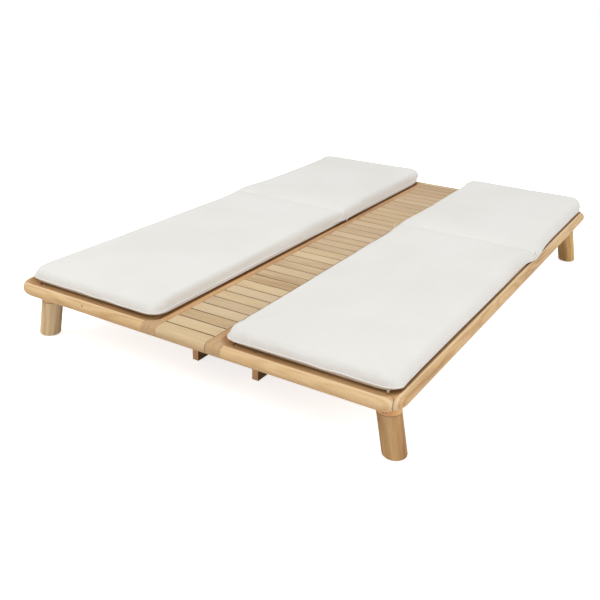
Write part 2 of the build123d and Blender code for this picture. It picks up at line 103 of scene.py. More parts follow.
class Value:
    """A shader socket that takes part in sums."""

    def __init__(self, graph: "Graph", socket: bpy.types.NodeSocket) -> None:
        """Wrap a socket of a graph."""
        self.graph = graph
        self.socket = socket

    def _math(self, operation: str, first: "Value | float", second: "Value | float" = 0.0) -> "Value":
        """Add one Math node.

        Args:
            operation: The node's operation.
            first: Its first operand.
            second: Its second operand.

        Returns:
            The result.
        """
        return self.graph.node("ShaderNodeMath", {"operation": operation}, {0: first, 1: second})

    def __add__(self, other: "Value | float") -> "Value":
        """Sum."""
        return self._math("ADD", self, other)

    __radd__ = __add__

    def __sub__(self, other: "Value | float") -> "Value":
        """Difference."""
        return self._math("SUBTRACT", self, other)

    def __rsub__(self, other: "Value | float") -> "Value":
        """Reflected difference."""
        return self._math("SUBTRACT", other, self)

    def __mul__(self, other: "Value | float") -> "Value":
        """Product."""
        return self._math("MULTIPLY", self, other)

    __rmul__ = __mul__

    def __truediv__(self, other: "Value | float") -> "Value":
        """Quotient."""
        return self._math("DIVIDE", self, other)

    def __abs__(self) -> "Value":
        """Size without sign."""
        return self._math("ABSOLUTE", self)

    def sine(self) -> "Value":
        """Sine of an angle in radians."""
        return self._math("SINE", self)

    def floor(self) -> "Value":
        """Whole part."""
        return self._math("FLOOR", self)

    def over(self, other: "Value | float") -> "Value":
        """The larger of two values."""
        return self._math("MAXIMUM", self, other)

    def under(self, other: "Value | float") -> "Value":
        """The smaller of two values."""
        return self._math("MINIMUM", self, other)

    def root(self) -> "Value":
        """Square root."""
        return self._math("SQRT", self)

    def ramp(self, low: float, high: float) -> "Value":
        """Rise smoothly from 0 at low to 1 at high.

        Args:
            low: Where the rise starts.
            high: Where it ends.

        Returns:
            The share risen.
        """
        settings = {"interpolation_type": "SMOOTHSTEP"}
        return self.graph.node("ShaderNodeMapRange", settings, {0: self, 1: low, 2: high})


class Graph:
    """A node graph under construction, of a material or of the world."""

    def __init__(self, owner: bpy.types.ID) -> None:
        """Empty a graph.

        Args:
            owner: The material or the world whose graph it is.
        """
        owner.use_nodes = True
        self.owner = owner
        self.tree = owner.node_tree
        self.tree.nodes.clear()

    @classmethod
    def material(cls, name: str) -> "Graph":
        """Start the graph of a new material."""
        return cls(bpy.data.materials.new(name))

    def add(self, kind: str, settings: dict | None = None,
            sockets: dict | None = None) -> bpy.types.Node:
        """Add a node.

        Args:
            kind: The node's type.
            settings: Its settings, set first. A ramp's stops are pairs of place and colour.
            sockets: Values or links for its sockets.

        Returns:
            The node.
        """
        made = self.tree.nodes.new(kind)
        for key, value in (settings or {}).items():
            if key == "stops":
                elements = made.color_ramp.elements
                while len(elements) < len(value):
                    elements.new(1.0)
                for element, (place, colour) in zip(elements, value):
                    element.position = place
                    element.color = colour
            else:
                setattr(made, key, value)
        for key, value in (sockets or {}).items():
            if isinstance(value, Value):
                self.tree.links.new(value.socket, made.inputs[key])
            else:
                made.inputs[key].default_value = value
        return made

    def node(self, kind: str, settings: dict | None = None, sockets: dict | None = None,
             output: int | str = 0) -> Value:
        """Add a node and take one of its outputs.

        Args:
            kind: The node's type.
            settings: Its settings.
            sockets: Values or links for its sockets.
            output: The socket that is wanted.

        Returns:
            The wanted output.
        """
        return Value(self, self.add(kind, settings, sockets).outputs[output])

    def own_place(self) -> Value:
        """Read the object's own coordinates."""
        return self.node("ShaderNodeTexCoord", None, None, "Object")

    def parts(self, place: Value) -> list[Value]:
        """Split a vector into its three numbers."""
        return [self.node("ShaderNodeSeparateXYZ", None, {0: place}, axis) for axis in range(3)]

    def mix(self, share: Value | float, first: Value | tuple, second: Value | tuple) -> Value:
        """Mix two colours.

        Args:
            share: How much of the second one.
            first: The first colour.
            second: The second colour.

        Returns:
            The mixed colour.
        """
        return self.node("ShaderNodeMix", {"data_type": "RGBA"}, {0: share, 6: first, 7: second}, 2)

    def surface(self, links: dict, relief: Value, depth: float) -> bpy.types.Material:
        """Close the graph with a surface.

        Args:
            links: Values or links for the surface's sockets.
            relief: Height of the fine relief.
            depth: Depth of that relief in metres.

        Returns:
            The finished material.
        """
        bump = self.node("ShaderNodeBump", None, {"Height": relief, "Distance": depth})
        return self.close(self.node("ShaderNodeBsdfPrincipled", None, {**links, "Normal": bump}))

    def close(self, shader: Value, output: str = "ShaderNodeOutputMaterial") -> bpy.types.ID:
        """Link a shader to the output.

        Args:
            shader: The finished shader.
            output: The type of the output node.

        Returns:
            The finished material or world.
        """
        self.add(output, None, {"Surface": shader})
        return self.owner


@dataclass(frozen=True)
class Speckle:
    """Noise with a number of waves per metre of its own along each of three directions."""

    waves: Triple
    detail: float = 2.0
    roughness: float = 0.5

    def read(self, graph: Graph, parts: Iterable[Value], shift: float = 0.0) -> Value:
        """Read the noise.

        Args:
            graph: The material's graph.
            parts: The place, number by number.
            shift: How far the last number is moved on.

        Returns:
            The noise, about 0.5.
        """
        first, second, third = (part * wave for part, wave in zip(parts, self.waves))
        if shift:
            third = third + shift
        place = graph.node("ShaderNodeCombineXYZ", None, {0: first, 1: second, 2: third})
        sockets = {"Vector": place, "Scale": 1.0, "Detail": self.detail, "Roughness": self.roughness}
        return graph.node("ShaderNodeTexNoise", None, sockets)


@dataclass(frozen=True)
class Line:
    """A thin dark joint line, or a strip of painted shade, on both sides of the middle of an axis."""

    axis: int
    place: float
    reach: float = 0.0012
    strength: float = 0.8


@dataclass(frozen=True)
class Mark:
    """A knot, a filled hole, a stain or a small dark dot in the wood."""

    place: Place
    size: float
    colour: Colour = (92, 64, 40)
    strength: float = 0.85
    core_share: float = 0.35


@dataclass(frozen=True)
class Butt:
    """Board ends that show their end grain, fading along the board."""

    at: float
    depth: float = 0.085
    full_share: float = 0.35
    wander: float = 0.05
    colour: Colour = (194, 162, 121)
    fibre: Colour = (158, 124, 84)
    cut: Speckle = Speckle((420.0, 70.0, 16.0), 3.0)
    cut_range: tuple[float, float] = (0.35, 0.75)
    cut_strength: float = 0.75
    strength: float = 0.85


@dataclass(frozen=True)
class Boards:
    """A field of equal boards side by side along Y, each with a tone of its own."""

    pitch: float
    start: float
    tone: float = 0.42
    shift_along: float = 7.3
    shift_through: float = 1.9
    grey: float = 0.4
    grey_seed: float = 11.3
    grey_colour: Colour = (202, 182, 154)
    # Painted shade: the boards turn darker and browner towards the back, between the cushions.
    back_shade_range: tuple[float, float] = (-0.6, 1.1)
    back_shade_colour: Colour = (176, 138, 96)
    back_shade_strength: float = 0.44


@dataclass(frozen=True)
class Cove:
    """Painted shade on the dished shelf inside the ridge, under the cushion's edge, and a painted
    highlight along the ridge itself.
    """

    ridge_x: float = 0.675
    ridge_y: float = 1.005
    inner_x: float = 0.111
    blur: float = 0.003
    # Colour and strength of the painted shade on the shelf, made patchy by the drift.
    colour: Colour = (172, 122, 74)
    strength: float = 0.72
    even_share: float = 0.55
    patchy_share: float = 0.9
    patch_level: float = 0.3
    # A painted highlight along the ridge.
    ridge_highlight: Colour = (236, 212, 174)
    highlight_reach: float = 0.007
    highlight_core_share: float = 0.25
    highlight_shift: float = 0.002
    highlight_strength: float = 0.45


@dataclass(frozen=True)
class Tongue:
    """The rounded tongue of a front rail that the outer rail holds, as a dark line in plan."""

    tip: float = 0.672
    shoulder: float = 0.639
    shoulder_blur: float = 0.001
    edge: float = 0.991
    rounding: float = 0.014
    reach: float = 0.0011
    strength: float = 0.85


@dataclass(frozen=True)
class Reading:
    """What a wood's finish reads at a point."""

    graph: Graph
    place: Value
    parts: list[Value]
    grain: tuple[Value, Value, Value]
    drift: Value


@dataclass(frozen=True)
class WoodFinish:
    """Oiled acacia with rings, fibres and slow changes of tone."""

    name: str
    grain: Triple
    seed: float
    tone: float
    pale: Colour = (222, 190, 144)
    middle: Colour = (204, 167, 118)
    deep: Colour = (158, 115, 70)
    # Dark of the joints, also used for painted shade on the inner legs' sides, on the slat sides in the
    # gaps and in the deck's edge line.
    joint: Colour = (88, 62, 38)
    butt: Butt | None = None
    boards: Boards | None = None
    cove: Cove | None = None
    tongue: Tongue | None = None
    lines: tuple[Line, ...] = ()
    marks: tuple[Mark, ...] = ()
    line_core_share: float = 0.4
    # Painted shade on the board sides below the top, in the gaps between boards.
    gap_shade_below: float | None = None
    gap_shade_blur: float = 0.0012
    gap_shade_strength: float = 0.8
    # Painted shade on the lower faces, which turn down away from the light.
    belly_shade: float = 0.0
    belly_shade_from: float = 0.203
    belly_shade_blur: float = 0.018
    belly_shade_colour: Colour = (190, 140, 88)
    seed_run: float = 3.17
    fibre: Speckle = Speckle((520.0, 520.0, 14.0), 3.0, 0.6)
    fibre_strength: float = 0.6
    fibre_relief: float = 0.5
    drift: Speckle = Speckle((22.0, 22.0, 2.4), 3.0, 0.6)
    drift_shift: float = 5.0
    drift_strength: float = 1.5
    pores: Speckle = Speckle((900.0, 900.0, 32.0), 1.0)
    pore_range: tuple[float, float] = (0.62, 0.74)
    pore_strength: float = 0.25
    pore_relief: float = 0.6
    ring_pitch: float = 0.011
    ring_strength: float = 0.24
    ring_relief: float = 0.2
    pith: tuple[float, float] = (0.045, 0.06)
    pith_spread: tuple[float, float] = (0.01, 0.02)
    pith_wander: float = 0.12
    warp_across: Speckle = Speckle((5.0, 5.0, 1.6))
    warp_through: Speckle = Speckle((6.0, 6.0, 1.3))
    roughness: float = 0.5
    roughness_spread: float = 0.22
    gloss: float = 0.3
    relief_depth: float = 0.0002

    def build(self) -> bpy.types.Material:
        """Make the material.

        Returns:
            The wood.
        """
        graph = Graph.material(self.name)
        place = graph.own_place()
        parts = graph.parts(place)
        length, breadth, height = self._axes(graph, place)
        board = own_tone = None
        if self.boards:
            board = ((parts[1] - self.boards.start) / self.boards.pitch).floor()
            own_tone = self._luck(graph, board, self.seed)
            length = length + own_tone * self.boards.shift_along
            height = height + own_tone * self.boards.shift_through
        length = length + self.seed * self.seed_run
        grain = (breadth, height, length)
        fibre = self.fibre.read(graph, grain)
        drift = self.drift.read(graph, grain, self.drift_shift)
        pores = self.pores.read(graph, grain).ramp(*self.pore_range)
        rings = self._rings(graph, grain)
        shade = ((rings - 0.5) * self.ring_strength + (fibre - 0.5) * self.fibre_strength
                 + (drift - 0.5) * self.drift_strength + (0.5 - self.tone))
        if own_tone is not None:
            shade = shade + (own_tone - 0.5) * self.boards.tone
        stops = ((0.0, srgb(*self.pale)), (0.5, srgb(*self.middle)), (1.0, srgb(*self.deep)))
        colour = graph.node("ShaderNodeValToRGB", {"stops": stops}, {0: shade})
        colour = graph.mix(pores * self.pore_strength, colour, srgb(*self.deep))
        if board is not None:
            grey = self._luck(graph, board, self.seed + self.boards.grey_seed) * self.boards.grey
            colour = graph.mix(grey, colour, srgb(*self.boards.grey_colour))
            # Painted shade, darker and browner towards the back.
            back_shade = parts[1].ramp(*self.boards.back_shade_range) * self.boards.back_shade_strength
            colour = graph.mix(back_shade, colour, srgb(*self.boards.back_shade_colour))
        at = Reading(graph, place, parts, grain, drift)
        for work in (self._add_shelf_shade, self._add_belly_shade, self._add_end_grain, self._add_joints,
                     self._add_marks):
            colour = work(at, colour)
        relief = rings * self.ring_relief + fibre * self.fibre_relief - pores * self.pore_relief
        roughness = fibre * self.roughness_spread + (self.roughness - self.roughness_spread / 2)
        links = {"Base Color": colour, "Roughness": roughness, "Specular IOR Level": self.gloss}
        return graph.surface(links, relief, self.relief_depth)

    def _axes(self, graph: Graph, place: Value) -> list[Value]:
        """Read a place along the grain, across it and through it.

        Args:
            graph: The material's graph.
            place: The object's coordinates.

        Returns:
            The three distances in metres.
        """
        grain = Vector(self.grain).normalized()
        other = Vector((0.0, 1.0, 0.0)) if abs(grain.z) > 0.5 else Vector((0.0, 0.0, 1.0))
        breadth = grain.cross(other).normalized()
        settings = {"operation": "DOT_PRODUCT"}
        return [graph.node("ShaderNodeVectorMath", settings, {0: place, 1: tuple(direction)}, "Value")
                for direction in (grain, breadth, grain.cross(breadth))]

    @staticmethod
    def _luck(graph: Graph, board: Value, seed: float) -> Value:
        """Draw a number from 0 to 1 that is each board's own."""
        settings = {"noise_dimensions": "1D"}
        return graph.node("ShaderNodeTexWhiteNoise", settings, {"W": board + seed}, "Value")

    def _rings(self, graph: Graph, grain: tuple[Value, Value, Value]) -> Value:
        """Draw year rings round a pith that wanders outside the board.

        Args:
            graph: The material's graph.
            grain: The place across the grain, through it and along it.

        Returns:
            The rings, from 0 to 1.
        """
        warp_across = self.warp_across.read(graph, grain, self.seed) - 0.5
        warp_through = self.warp_through.read(graph, grain, -self.seed) - 0.5
        pith_across = self.pith[0] + self.pith_spread[0] * math.sin(self.seed)
        pith_through = self.pith[1] + self.pith_spread[1] * math.cos(self.seed)
        across = grain[0] + (warp_across * self.pith_wander + pith_across)
        through = grain[1] + (warp_through * self.pith_wander + pith_through)
        radius = (across * across + through * through).root()
        return (radius * (2 * math.pi / self.ring_pitch)).sine() * 0.5 + 0.5

    def _add_shelf_shade(self, at: Reading, colour: Value) -> Value:
        """Paint shade onto the dished shelf and a highlight along the ridge round it.

        Args:
            at: What is read at the point.
            colour: The colour so far.

        Returns:
            The colour with the painted shade and highlight.
        """
        if not self.cove:
            return colour
        cove = self.cove
        off_x, off_y = abs(at.parts[0]), abs(at.parts[1])
        past_ridge = (off_x - cove.ridge_x).over(cove.inner_x - off_x).over(off_y - cove.ridge_y)
        inside = 1.0 - past_ridge.ramp(-cove.blur, 0.0)
        patches = cove.even_share + cove.patchy_share * (at.drift - cove.patch_level)
        # Painted shade on the shelf under the cushion's edge.
        colour = at.graph.mix(inside * patches * cove.strength, colour, srgb(*cove.colour))
        # Painted highlight along the ridge.
        core = cove.highlight_core_share * cove.highlight_reach
        edge = 1.0 - abs(past_ridge - cove.highlight_shift).ramp(core, cove.highlight_reach)
        return at.graph.mix(edge * cove.highlight_strength, colour, srgb(*cove.ridge_highlight))

    def _add_belly_shade(self, at: Reading, colour: Value) -> Value:
        """Paint shade onto the lower faces, deeper towards a rail's underside.

        Args:
            at: What is read at the point.
            colour: The colour so far.

        Returns:
            The colour with the painted shade.
        """
        if not self.belly_shade:
            return colour
        # Painted shade below a height, on the faces that turn down.
        low = 1.0 - at.parts[2].ramp(self.belly_shade_from - self.belly_shade_blur, self.belly_shade_from)
        return at.graph.mix(low * self.belly_shade, colour, srgb(*self.belly_shade_colour))

    def _add_end_grain(self, at: Reading, colour: Value) -> Value:
        """Show the end grain at a board's ends.

        Args:
            at: What is read at the point.
            colour: The colour so far.

        Returns:
            The colour with the end grain.
        """
        if not self.butt:
            return colour
        butt = self.butt
        run = abs(at.parts[1]) + (at.drift - 0.5) * butt.wander
        ends = run.ramp(butt.at - butt.depth, butt.at - butt.full_share * butt.depth)
        cut = butt.cut.read(at.graph, at.grain).ramp(*butt.cut_range) * butt.cut_strength
        face = at.graph.mix(cut, srgb(*butt.colour), srgb(*butt.fibre))
        return at.graph.mix(ends * butt.strength, colour, face)

    def _add_joints(self, at: Reading, colour: Value) -> Value:
        """Darken the joint lines, the strips of painted shade and the tongue's outline, and paint shade
        onto the board sides in the gaps between boards.

        Args:
            at: What is read at the point.
            colour: The colour so far.

        Returns:
            The colour with the joints and the painted shade.
        """
        dark = srgb(*self.joint)
        for line in self.lines:
            away = abs(abs(at.parts[line.axis]) - line.place)
            share = 1.0 - away.ramp(self.line_core_share * line.reach, line.reach)
            colour = at.graph.mix(share * line.strength, colour, dark)
        if self.tongue:
            colour = at.graph.mix(self._tongue_line(at.parts) * self.tongue.strength, colour, dark)
        # Painted shade on the board sides in the gaps between boards.
        if self.gap_shade_below:
            low = 1.0 - at.parts[2].ramp(self.gap_shade_below - self.gap_shade_blur, self.gap_shade_below)
            colour = at.graph.mix(low * self.gap_shade_strength, colour, dark)
        return colour

    def _tongue_line(self, parts: list[Value]) -> Value:
        """Mark the outline of the tongue at a frame's corners.

        Args:
            parts: The object's coordinates.

        Returns:
            How much of the line lies there.
        """
        tongue = self.tongue
        past_tip = abs(parts[0]) - (tongue.tip - tongue.rounding)
        past_edge = (tongue.edge + tongue.rounding) - abs(parts[1])
        out_x, out_y = past_tip.over(0.0), past_edge.over(0.0)
        outside = (out_x * out_x + out_y * out_y).root()
        inside = past_tip.over(past_edge).under(0.0)
        away = abs(outside + inside - tongue.rounding)
        near_corner = abs(parts[0]).ramp(tongue.shoulder - tongue.shoulder_blur, tongue.shoulder)
        return (1.0 - away.ramp(self.line_core_share * tongue.reach, tongue.reach)) * near_corner

    def _add_marks(self, at: Reading, colour: Value) -> Value:
        """Add the knots, holes and stains.

        Args:
            at: What is read at the point.
            colour: The colour so far.

        Returns:
            The colour with the marks.
        """
        settings = {"operation": "DISTANCE"}
        for mark in self.marks:
            away = at.graph.node("ShaderNodeVectorMath", settings, {0: at.place, 1: mark.place}, "Value")
            spot = 1.0 - away.ramp(mark.core_share * mark.size, mark.size)
            colour = at.graph.mix(spot * mark.strength, colour, srgb(*mark.colour))
        return colour


@dataclass(frozen=True)
class CanvasFinish:
    """Off-white outdoor canvas, plain weave with slubs and a line of stitches."""

    name: str = "off_white_canvas"
    colour: Colour = (231, 230, 226)
    shade: Colour = (221, 218, 212)
    thread: float = 0.0011
    weave_tint: float = 0.05
    weave_relief: float = 0.25
    slubs: tuple[Speckle, Speckle] = (Speckle((60.0, 900.0, 900.0)), Speckle((900.0, 60.0, 900.0)))
    slub_tint: float = 0.3
    slub_relief: float = 0.6
    cloud: Speckle = Speckle((3.0, 3.0, 3.0), 3.0)
    cloud_range: tuple[float, float] = (0.35, 0.7)
    cloud_tint: float = 0.35
    stitch_y: float = 0.212
    stitch_range: tuple[float, float] = (0.0006, 0.0022)
    stitch_strength: float = 0.55
    stitch_colour: Colour = (176, 168, 156)
    roughness: float = 0.93
    gloss: float = 0.2
    fuzz: float = 0.12
    fuzz_roughness: float = 0.6
    relief_depth: float = 0.00025

    def build(self) -> bpy.types.Material:
        """Make the material.

        Returns:
            The cloth.
        """
        graph = Graph.material(self.name)
        place = graph.node("ShaderNodeAttribute", {"attribute_name": CLOTH_PLACE}, None, "Vector")
        parts = graph.parts(place)
        x, y, z = parts
        turn = 2 * math.pi / self.thread
        weave = ((x + z) * turn).sine() * ((y + z) * turn).sine()
        slub_across, slub_along = (slub.read(graph, parts) for slub in self.slubs)
        cloud = self.cloud.read(graph, parts).ramp(*self.cloud_range)
        tint = (slub_across * self.slub_tint + slub_along * self.slub_tint + cloud * self.cloud_tint
                + weave * self.weave_tint)
        colour = graph.mix(tint, srgb(*self.colour), srgb(*self.shade))
        stitch = 1.0 - abs(y - self.stitch_y).ramp(*self.stitch_range)
        colour = graph.mix(stitch * self.stitch_strength, colour, srgb(*self.stitch_colour))
        relief = (weave * self.weave_relief + slub_across * self.slub_relief
                  + slub_along * self.slub_relief)
        links = {"Base Color": colour, "Roughness": self.roughness, "Specular IOR Level": self.gloss,
                 "Sheen Weight": self.fuzz, "Sheen Roughness": self.fuzz_roughness}
        return graph.surface(links, relief, self.relief_depth)


@dataclass(frozen=True)
class PlainFinish:
    """A smooth hard finish with slight unevenness."""

    name: str
    colour: Colour
    metallic: float = 0.0
    roughness: float = 0.4
    roughness_spread: float = 0.2
    scratches: Speckle = Speckle((60.0, 180.0, 180.0), 3.0)
    dark_share: float = 0.8
    relief_depth: float = 0.00004

    def build(self) -> bpy.types.Material:
        """Make the material.

        Returns:
            The finish.
        """
        graph = Graph.material(self.name)
        wear = self.scratches.read(graph, graph.parts(graph.own_place()))
        dark = tuple(self.dark_share * level for level in self.colour)
        colour = graph.mix(wear, srgb(*self.colour), srgb(*dark))
        roughness = wear * self.roughness_spread + (self.roughness - self.roughness_spread / 2)
        links = {"Base Color": colour, "Metallic": self.metallic, "Roughness": roughness}
        return graph.surface(links, wear, self.relief_depth)


def dress(node: str, material: bpy.types.Material) -> None:
    """Give a CAD piece its finish.

    Args:
        node: The piece's name.
        material: Its finish.
    """
    piece = frame["nodes"][node]
    piece.data.materials.clear()
    piece.data.materials.append(material)


def stand(name: str, data: bpy.types.ID) -> bpy.types.Object:
    """Put a mesh, a lamp or a camera into the scene.

    Args:
        name: The object's name.
        data: What it shows.

    Returns:
        The object.
    """
    made = bpy.data.objects.new(name, data)
    bpy.context.scene.collection.objects.link(made)
    return made


def moulded(name: str, mesh: bmesh.types.BMesh) -> bpy.types.Object:
    """Turn a finished form into an object.

    Args:
        name: The object's name.
        mesh: The form, which is freed.

    Returns:
        The object.
    """
    data = bpy.data.meshes.new(name)
    mesh.to_mesh(data)
    mesh.free()
    return stand(name, data)


@dataclass
class Rails:
    """The rounded rails round both recliners."""

    knot: Place = (-0.3884, -1.0217, 0.2064)
    knot_size: float = 0.0042
    corner_mark: Place = (0.6764, -1.0158, 0.2121)
    corner_mark_size: float = 0.0045
    side_seed: float = 4.0
    end_seeds: tuple[float, float] = (0.4, 1.7)
    outer_seed: float = 12.6
    inner_seed: float = 20.3
    inner_pale: Colour = (208, 168, 118)
    inner_middle: Colour = (190, 146, 97)
    inner_deep: Colour = (156, 112, 68)
    seam_x: float = 0.0912
    seam_reach: float = 0.0024
    seam_strengths: tuple[float, float] = (0.85, 0.35)

    def dress(self) -> None:
        """Give each rail its own board."""
        frame_end = -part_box("right_front_rail")[0].y
        for number, side in enumerate(Side):
            for end, end_seed in zip(End, self.end_seeds):
                has_knot = side is Side.LEFT and end is End.FRONT
                knots = (Mark(self.knot, self.knot_size),) if has_knot else ()
                # Painted shade on the shelf and the lower faces, and a painted highlight on the ridge.
                wood = WoodFinish(f"{side.value}_{end.value}_rail_wood", Grain.ACROSS.value,
                                  seed=self.side_seed * number + end_seed, tone=0.12, belly_shade=0.3,
                                  marks=knots, cove=Cove(), tongue=Tongue())
                dress(f"{side.value}_{end.value}_rail", wood.build())
            marks = (Mark(self.corner_mark, self.corner_mark_size),) if side is Side.RIGHT else ()
            # Painted shade on the shelf and the lower faces, and a painted highlight on the ridge.
            outer = WoodFinish(f"{side.value}_outer_rail_wood", Grain.ALONG.value,
                               seed=self.outer_seed + number, tone=0.14, belly_shade=0.25,
                               marks=marks, cove=Cove(), tongue=Tongue())
            dress(f"{side.value}_outer_rail", outer.build())
            seam = Line(0, self.seam_x, self.seam_reach, self.seam_strengths[number])
            inner = WoodFinish(f"{side.value}_inner_rail_wood", Grain.ALONG.value,
                               seed=self.inner_seed + number, tone=-0.06,
                               # The inner rails keep the painted shade on the shelf but get no painted
                               # highlight.
                               cove=Cove(highlight_strength=0.0), butt=Butt(frame_end), lines=(seam,),
                               pale=self.inner_pale, middle=self.inner_middle, deep=self.inner_deep)
            dress(f"{side.value}_inner_rail", inner.build())
            log.info("rails of the %s recliner", side.value)


@dataclass
class Deck:
    """The slatted centre deck."""

    slats: int = 33
    gap: float = 0.0042
    # Depth below the slats' top where the painted shade of the gaps starts.
    gap_shade_depth: float = 0.0006
    slat_seed: float = 2.2
    end_seeds: tuple[float, float] = (31.0, 37.5)
    pale: Colour = (212, 188, 148)
    middle: Colour = (196, 168, 126)
    deep: Colour = (160, 126, 86)
    # A dark joint line where the end rails meet the slats, partly painted shade of the gap between them.
    edge_shade_strength: float = 0.6
    # A small dark dot near the deck's front corner, darkest at its middle.
    dark_dot: Place = (-0.0965, -0.964, 0.2145)
    dark_dot_size: float = 0.004

    def dress(self) -> None:
        """Give the end rails and the slats their wood."""
        low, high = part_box("deck_slats")
        pitch = (high.y - low.y + self.gap) / self.slats
        colours = {"pale": self.pale, "middle": self.middle, "deep": self.deep}
        slats = WoodFinish("deck_slat_wood", Grain.ACROSS.value, seed=self.slat_seed, tone=0.02,
                           ring_strength=0.14, boards=Boards(pitch, low.y - self.gap / 2),
                           gap_shade_below=high.z - self.gap_shade_depth, **colours)
        dress("deck_slats", slats.build())
        # Dark joint line at the first slat, partly painted shade of the gap.
        edge = Line(1, high.y + self.gap, strength=self.edge_shade_strength)
        dark_dot = Mark(self.dark_dot, self.dark_dot_size)
        for end, seed in zip(End, self.end_seeds):
            # Painted shade on the end rails' lower faces.
            wood = WoodFinish(f"deck_{end.value}_rail_wood", Grain.ACROSS.value, seed=seed, tone=0.1,
                              ring_strength=0.16, lines=(edge,), marks=(dark_dot,), belly_shade=0.45, **colours)
            dress(f"deck_{end.value}_rail", wood.build())
        log.info("centre deck")


@dataclass
class Legs:
    """The round legs with their collars, the flat inner legs and the glides."""

    lean: float = 0.038 / 0.176
    collar_low: float = 0.134
    collar_high: float = 0.176
    joint_reach: float = 0.0024
    joint_strength: float = 0.55
    rail_joint_reach: float = 0.0016
    rail_joint_strength: float = 0.7
    holes: tuple[Place, ...] = ((0.6295, -0.9616, 0.1425), (0.6360, -0.9607, 0.1430))
    hole_size: float = 0.0028
    hole_colour: Colour = (52, 38, 30)
    stain: Place = (0.6425, -0.9585, 0.1385)
    stain_size: float = 0.013
    stain_colour: Colour = (206, 128, 104)
    stain_strength: float = 0.5
    # Painted shade on the inner legs' side faces, which lie in the shadow under the frame.
    shaded_cheeks: tuple[float, float] = (0.130, 0.106)
    cheek_shade_reach: float = 0.0018
    cheek_shade_strength: float = 0.85
    first_seed: float = 41.0
    side_seed: float = 3.1
    end_seeds: tuple[float, float] = (0.0, 1.3)
    collar_seed: float = 7.0
    flat_seed: float = 15.0
    leg_tone: float = 0.05
    collar_tone: float = 0.1
    flat_tone: float = 0.14
    collar_wood: tuple[Colour, ...] = ((228, 188, 128), (212, 166, 108), (186, 128, 92))
    # Painted light: the inner legs' wood is made lighter to make up for the shadow under the frame.
    flat_wood_painted_light: tuple[Colour, ...] = ((252, 206, 158), (244, 192, 142), (216, 164, 118))
    woods: dict[str, tuple[Colour, ...]] = field(default_factory=lambda: {
        "right_front": ((206, 172, 124), (182, 141, 92), (140, 100, 60)),
        "right_back": ((226, 194, 138), (208, 170, 111), (170, 130, 78)),
        "left_front": ((230, 206, 166), (214, 184, 140), (178, 146, 104)),
        "left_back": ((222, 192, 148), (204, 170, 122), (166, 128, 84)),
    })

    def dress(self) -> None:
        """Give each leg upright grain that follows its lean."""
        joint = Line(2, self.collar_low, self.joint_reach, self.joint_strength)
        rail_joint = Line(2, self.collar_high, self.rail_joint_reach, self.rail_joint_strength)
        marks = (Mark(self.stain, self.stain_size, self.stain_colour, self.stain_strength),
                 *(Mark(hole, self.hole_size, self.hole_colour) for hole in self.holes))
        for number, side in enumerate(Side):
            grain = (side.sign * self.lean, 0.0, -1.0)
            # Painted shade on the inner leg's side face.
            cheek_shade = Line(0, self.shaded_cheeks[number], self.cheek_shade_reach, self.cheek_shade_strength)
            for end, end_seed in zip(End, self.end_seeds):
                corner = f"{side.value}_{end.value}"
                seed = self.first_seed + self.side_seed * number + end_seed
                leg = WoodFinish(f"{corner}_leg_wood", grain, seed, self.leg_tone, *self.woods[corner],
                                 ring_pitch=0.016, ring_strength=0.3, drift_strength=1.7, lines=(joint,))
                dress(f"{corner}_leg", leg.build())
                collar = WoodFinish(f"{corner}_leg_collar_wood", grain, seed + self.collar_seed,
                                    self.collar_tone, *self.collar_wood, lines=(joint, rail_joint),
                                    marks=marks if corner == "right_front" else ())
                dress(f"{corner}_leg_collar", collar.build())
                # Inner legs: painted light in their lighter wood and painted shade on their sides.
                flat = WoodFinish(f"{corner}_inner_leg_wood", Grain.UPRIGHT.value, seed + self.flat_seed,
                                  self.flat_tone, *self.flat_wood_painted_light, lines=(cheek_shade,))
                dress(f"{corner}_inner_leg", flat.build())
        dress("foot_glides", PlainFinish("glide_plastic", (30, 30, 31), roughness=0.55).build())
        log.info("legs and glides")


@dataclass
class Understructure:
    """Everything below the cushions: ledgers, slats, bearers, backrests and props."""

    slat_pitch: float = 0.082
    ledger_seed: float = 55.0
    bearer_seed: float = 58.0
    slat_seed: float = 61.0

    def dress(self) -> None:
        """Give the hidden pieces plain wood and steel."""
        along = WoodFinish("ledger_wood", Grain.ALONG.value, self.ledger_seed, tone=-0.12).build()
        across = WoodFinish("bearer_wood", Grain.ACROSS.value, self.bearer_seed, tone=-0.12).build()
        steel = PlainFinish("brushed_steel", (176, 177, 178), metallic=1.0, roughness=0.35).build()
        dress("deck_ledgers", along)
        dress("corner_plates", across)
        dress("hinge_bolts", steel)
        dress("leg_bolts", steel)
        for side in Side:
            for name in ("outer_ledger", "inner_ledger", "prop_racks", "prop_arms",
                         "backrest_outer_stile", "backrest_inner_stile"):
                dress(f"{side.value}_{name}", along)
            for name in ("hinge_bearer", "rear_bearer", "backrest_top_rail"):
                dress(f"{side.value}_{name}", across)
            for name in ("seat_slats", "backrest_slats"):
                seed = self.slat_seed + side.sign
                slats = WoodFinish(f"{side.value}_{name}_wood", Grain.ACROSS.value, seed, tone=-0.05,
                                   boards=Boards(self.slat_pitch, start=0.0))
                dress(f"{side.value}_{name}", slats.build())
            for name in ("prop_bar", "prop_pins"):
                dress(f"{side.value}_{name}", steel)
        log.info("understructure")


def clamped(share: float) -> float:
    """Keep a share between 0 and 1."""
    return min(1.0, max(0.0, share))


def bell(away: float) -> float:
    """Fall off smoothly from 1 on both sides of zero."""
    return math.exp(-(away ** 2))


@dataclass(frozen=True)
class Wave:
    """Soft unevenness of a given depth, with its waves per metre along X, Y and Z."""

    depth: float
    waves: Triple
    shift: float = 0.0

    def at(self, place: Vector, side: int = 1) -> float:
        """Read the unevenness.

        Args:
            place: Where it is read.
            side: Which way along X the cushion lies, where the two cushions differ.

        Returns:
            A height in metres.
        """
        x, y, z = (level * wave for level, wave in zip(place, self.waves))
        return self.depth * noise.noise(Vector((x, y, z + self.shift * side)))


